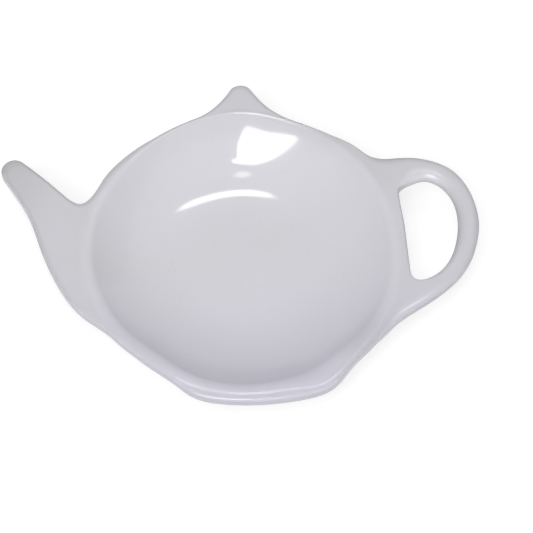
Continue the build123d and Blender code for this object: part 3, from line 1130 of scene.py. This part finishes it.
# Painted tint of bluish light from behind, growing towards the front.
colour = w.mixed(1 - y.step(FRONT, 0.0), colour, painted_blue_light)
colour = w.mixed(painted_front_light, colour, painted_light_white)
colour = w.mixed(thin, colour, painted_shade_grey)
colour = w.mixed(SPECK_SHOWS * speck, colour, shade(clay, 0.72))
wavering = from_axis + WAVER * (w.noise(WAVER_SIZE, 2.0) - 0.5)
inside_line = 1 - wavering.step(glaze_line - LINE_HALF, glaze_line + LINE_HALF)
bare = (1 - level.step(*BARE_FROM_TO)) * inside_line
colour = w.mixed(bare, colour, shade(clay))
print("glaze colour:", len(w.tree.nodes), "nodes")

# %% [markdown]
# ## Gloss of the white glaze
# The glaze reflects like glass, sharp but never quite even: it settles with a faint orange peel.
# It is duller where it is thin, and on the handle apart from its near arm, as fingers leave it.
# A second, clear layer gives the sharp highlight on the thick glaze, and a slight bump the peel.

# %% Glaze
PEEL_SIZE, SWIRL_SIZE = 2.6 * MM, 9 * MM
GLOSS, CLOUD_GLOSS, THIN_GLOSS, RUBBED_GLOSS, BARE_GLOSS = 0.055, 0.05, 0.2, 0.12, 0.6
CLEAR, THIN_LOSES, RUBBED_LOSES = 0.4, 0.8, 0.85
RUBBED_X, RUBBED_Y = (32 * MM, 50 * MM), (-20 * MM, -4 * MM)
rubbed = x.step(*RUBBED_X) * y.step(*RUBBED_Y)
gloss = GLOSS + CLOUD_GLOSS * clouds + THIN_GLOSS * thin + RUBBED_GLOSS * rubbed + BARE_GLOSS * bare
clear = CLEAR * (1 - bare) * (1 - THIN_LOSES * thin) * (1 - RUBBED_LOSES * rubbed)
height = 0.6 * w.noise(SWIRL_SIZE, 1.0) + 0.25 * w.noise(PEEL_SIZE, 1.0) - 0.2 * speck
bump = w.add("ShaderNodeBump", {}, {"Strength": 0.5, "Distance": 0.05 * MM, "Height": height})
w.add("ShaderNodeBsdfPrincipled", {}, {
    "Base Color": colour, "Roughness": gloss, "IOR": 1.52, "Normal": bump,
    "Coat Weight": clear, "Coat Roughness": 0.03, "Coat IOR": 1.5,
}).show()
print("white_glaze:", len(w.tree.nodes), "nodes")

# %% [markdown]
# ## Bare clay
# The wiped foot shows the fired body: off-white, matt and slightly gritty, with fine turning
# marks from the sponge and a few dark specks, and rubbed smoother where it has slid on tables.
# The marks are a sine of the distance from the axis, which a sponge on a wheel draws too.

# %% Clay
GRIT_SIZE, STAIN_SIZE, DARK_SIZE = 0.45 * MM, 11 * MM, 1.1 * MM
MARK_STEP, MARK_WANDER, SLID_FROM_TO = 0.42 * MM, 5.0, (0.05 * MM, 0.4 * MM)
bare_clay, w = new_material("wiped_bare_clay")
level, from_axis = coordinate(w, 2), axis_distance(w)
grit = w.noise(GRIT_SIZE, 2.0)
stain = w.noise(STAIN_SIZE, 3.0)
marks = w.math("SINE", 2 * np.pi / MARK_STEP * from_axis + MARK_WANDER * stain, 0.0)
dark = w.noise(DARK_SIZE, 0.0).step(0.76, 0.80)
slid = 1 - level.step(*SLID_FROM_TO)
colour = w.mixed(stain.step(0.3, 0.7), shade(clay, 0.93), shade(clay, 1.04))
colour = w.mixed(0.16 * grit.step(0.45, 0.65), colour, shade(clay, 0.8))
colour = w.mixed(0.55 * dark, colour, shade(clay, 0.45))
colour = w.mixed(0.35 * slid * stain, colour, shade(clay, 0.78))
height = 0.5 * grit + 0.12 * marks - 0.4 * dark
bump = w.add("ShaderNodeBump", {}, {"Strength": 0.6, "Distance": 0.08 * MM, "Height": height})
w.add("ShaderNodeBsdfPrincipled", {}, {
    "Base Color": colour, "Roughness": 0.86 - 0.2 * slid, "IOR": 1.45, "Normal": bump,
}).show()
print("bare_clay:", len(w.tree.nodes), "nodes")

# %% [markdown]
# ## Every skin stands for its solid
# The rest is rigid, so all skins ride on the one body, and each hides the solid that it shows.

# %% Dress the frame
dressed = [
    (bowl, "bowl"), (spout, "spout"), (lid_knob, "lid_knob"),
    (handle_loop, "handle_loop"), (base_lip, "base_lip"), (foot_ring, "foot_ring"),
]
finishes = {"white_glaze": glaze, "bare_clay": bare_clay}
slot_of = {part["node"]: part["material_slot"] for part in frame["record"]["subparts"]}
for piece, node in dressed:
    piece.data.materials.append(finishes[slot_of[node]])
    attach(piece, "root")
    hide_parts(node)
print("dressed:", [piece.name for piece, _ in dressed])

# %% [markdown]
# ## Floor
# The photograph has a white ground. The floor is a pale matt sheet that takes the object's
# shadow. To the camera and in reflections it is lifted to white by a light of its own, which
# falls on nothing. A brighter floor would do it too, but it would light the object from below.

# %% Floor
FLOOR_HALF, FLOOR_COLOUR, FLOOR_LIFT = 1.5, 0.38, 0.74
PLAIN_WHITE = (1.0, 1.0, 1.0, 1.0)


def staged(name, corners, material):
    """A flat sheet with the given corners that belongs to the stage and not to the part."""
    mesh = bpy.data.meshes.new(name)
    mesh.from_pydata(np.asarray(corners).tolist(), [], [tuple(range(len(corners)))])
    mesh.materials.append(material)
    sheet = bpy.data.objects.new(name, mesh)
    bpy.context.scene.collection.objects.link(sheet)
    print(f"{name}: {len(corners)} corners, {mesh.polygons[0].area:.2f} square metres")


def seen_direct(wire):
    """One for rays from the camera, from a glossy bounce or through glass, else nought."""
    rays = ("Is Camera Ray", "Is Glossy Ray", "Is Transmission Ray")
    camera_ray, glossy_ray, glass_ray = (wire.add("ShaderNodeLightPath", out=ray) for ray in rays)
    return wire.math("MAXIMUM", wire.math("MAXIMUM", camera_ray, glossy_ray), glass_ray)


paper, w = new_material("pale_floor")
matt = w.add("ShaderNodeBsdfDiffuse", {}, {"Color": (FLOOR_COLOUR, FLOOR_COLOUR, FLOOR_COLOUR, 1.0)})
lift = w.add("ShaderNodeEmission", {}, {"Color": PLAIN_WHITE, "Strength": FLOOR_LIFT * seen_direct(w)})
w.add("ShaderNodeAddShader", {}, {0: matt, 1: lift}).show()
floor_corners = FLOOR_HALF * np.array([(-1, -1, 0), (1, -1, 0), (1, 1, 0), (-1, 1, 0)])
staged("pale_floor", floor_corners, paper)

# %% [markdown]
# ## Room
# The room gives soft light from all round, dimmer from behind, and shows white where nothing
# stands in it. An even grey would be simpler, but it would flatten the wall of the well.

# %% World
AMBIENT, DIMMER_BEHIND = 0.316, 0.71
ROOM_COLOUR = (0.965, 0.96, 1.0, 1.0)
world = bpy.data.worlds.new("soft_room")
bpy.context.scene.world = world
world.use_nodes = True
world.node_tree.nodes.clear()
w = Wire(world.node_tree)
direction = w.add("ShaderNodeTexCoord", out="Generated")
behind = w.add("ShaderNodeSeparateXYZ", {}, {0: direction}, out=1)
room = AMBIENT * (1 - DIMMER_BEHIND * behind)
soft_light = w.add("ShaderNodeBackground", {}, {"Color": ROOM_COLOUR, "Strength": room})
plain = w.add("ShaderNodeBackground", {}, {"Color": PLAIN_WHITE, "Strength": 1.0})
w.add("ShaderNodeMixShader", {}, {0: seen_direct(w), 1: soft_light, 2: plain}).show("ShaderNodeOutputWorld")
print("room light", AMBIENT)

# %% [markdown]
# ## Camera
# The photograph looks down steeply from the front with a long lens. The angle was fitted so that
# the outline of the solids lies on the outline in the photograph.

# %% Camera
AZIMUTH, ELEVATION = np.radians(-4.53), np.radians(62.36)
TARGET, DISTANCE = Vector((5.90 * MM, -8.14 * MM, 12.8 * MM)), 0.52
LENS, SENSOR, NEAR, FAR = 132.25, 36.0, 0.01, 20.0
across_floor = np.cos(ELEVATION) * np.array([np.sin(AZIMUTH), -np.cos(AZIMUTH)])
back = Vector((*across_floor, np.sin(ELEVATION)))
camera_data = bpy.data.cameras.new("camera")
camera_data.lens, camera_data.sensor_width = LENS, SENSOR
camera_data.clip_start, camera_data.clip_end = NEAR, FAR
camera = bpy.data.objects.new("camera", camera_data)
camera.location = TARGET + DISTANCE * back
camera.rotation_mode = "QUATERNION"
camera.rotation_quaternion = (-back).to_track_quat("-Z", "Y")
bpy.context.scene.collection.objects.link(camera)
bpy.context.scene.camera = camera
bpy.context.scene.view_settings.view_transform = "Standard"
print("camera at", [round(c, 3) for c in camera.location])

# %% [markdown]
# ## Reflections of the lights
# The reflections in the glaze tell where the lights were: a skylight in front on the spout's
# side, a long tube just behind, and a small gap of light between them. Places on the glaze are
# written as an angle round the axis in degrees and a distance from it in millimetres. The tube
# and the gap are bent strips that narrow at their ends. The skylight has corners on its side and
# its far end, and one round edge.

# %% Shapes of the reflections
SKYLIGHT_SIDE = [(92.5, 31.8), (89.5, 32.1), (89.0, 35.5), (87.0, 38.2), (84.5, 39.8)]
SKYLIGHT_FAR = [(82.5, 39.3), (75.0, 38.4), (64.5, 38.9)]
SKYLIGHT_ROUND = bend((63.0, 38.0), (72.0, 28.0), (92.0, 31.0), 9)
TUBE_ENDS, TUBE_BLUNT = (134.0, 64.0), 8
TUBE_REACH, TUBE_BEND, BEND_FROM, BEND_OVER = 22.65, 2.3, 75.0, 60.0
GAP_ENDS, GAP_BLUNT, GAP_REACH = (92.5, 81.5), 2, 27.8
STRIP_HALF, STRIP_POINTS = 0.85, 21


def tube_line(angle):
    """Distance of the tube's reflection from the axis: it bends outwards with the cube of the angle."""
    return TUBE_REACH + TUBE_BEND * ((angle - BEND_FROM) / BEND_OVER) ** 3


def strip(ends, line, bluntness):
    """Corners of a bent strip between two angles. Its half width falls to nought at both ends, with
    a power of the way from its middle."""
    way = np.linspace(-1, 1, STRIP_POINTS)
    angle = np.interp(way, (-1, 1), ends)
    half = STRIP_HALF * (1 - np.abs(way) ** bluntness)
    outer, inner = (np.stack([angle, line(angle) + hand * half], -1) for hand in (1, -1))
    return np.concatenate([outer, inner[-2:0:-1]])


skylight = [*SKYLIGHT_SIDE, *SKYLIGHT_FAR, *SKYLIGHT_ROUND]
tube = strip(TUBE_ENDS, tube_line, TUBE_BLUNT)
gap = strip(GAP_ENDS, lambda angle: GAP_REACH, GAP_BLUNT)
print("corners of skylight, tube and gap:", len(skylight), len(tube), len(gap))

# %% [markdown]
# ## Three lights overhead
# At each corner of a reflection the mirror law gives the direction of the light. Blender's area
# lights are rectangles or ellipses, but a flat mesh that emits light may have any corners, so each
# light is one such panel. A white card on the handle's side brightens the shaded wall.

# %% Lights by the mirror law
PANEL_LEVEL = 1.3
CARD = np.array([(1.0, -0.9, 0.0), (1.0, 0.9, 0.0), (1.0, 0.9, 1.0), (1.0, -0.9, 1.0)])
SKYLIGHT_GLOW, GAP_GLOW, TUBE_GLOW, CARD_GLOW = 7.8, 4.6, 8.6, 0.6


def mirrored(corners):
    """Points at the panels' level that the glaze mirrors into the camera. The way there is twice
    the normal times its share of the line of sight, less the line of sight."""
    angle, reach = np.array(corners).T
    plan = axis + reach[:, None] * MM * heading(angle)
    spot, normal = raised(plan, surface(plan)), surface_normals(plan)
    sight = np.array(camera.location) - spot
    sight /= np.linalg.norm(sight, axis=1, keepdims=True)
    away = 2 * (sight * normal).sum(1, keepdims=True) * normal - sight
    return spot + away * (PANEL_LEVEL - spot[:, 2:]) / away[:, 2:]


def glowing_panel(name, corners, radiance):
    """A flat panel with the same radiance all over."""
    material, wire = new_material(name)
    wire.add("ShaderNodeEmission", {}, {"Color": PLAIN_WHITE, "Strength": radiance}).show()
    staged(name, corners, material)


glowing_panel("skylight", mirrored(skylight), SKYLIGHT_GLOW)
glowing_panel("gap_of_light", mirrored(gap), GAP_GLOW)
glowing_panel("tube", mirrored(tube), TUBE_GLOW)
glowing_panel("white_card", CARD, CARD_GLOW)

# %% [markdown]
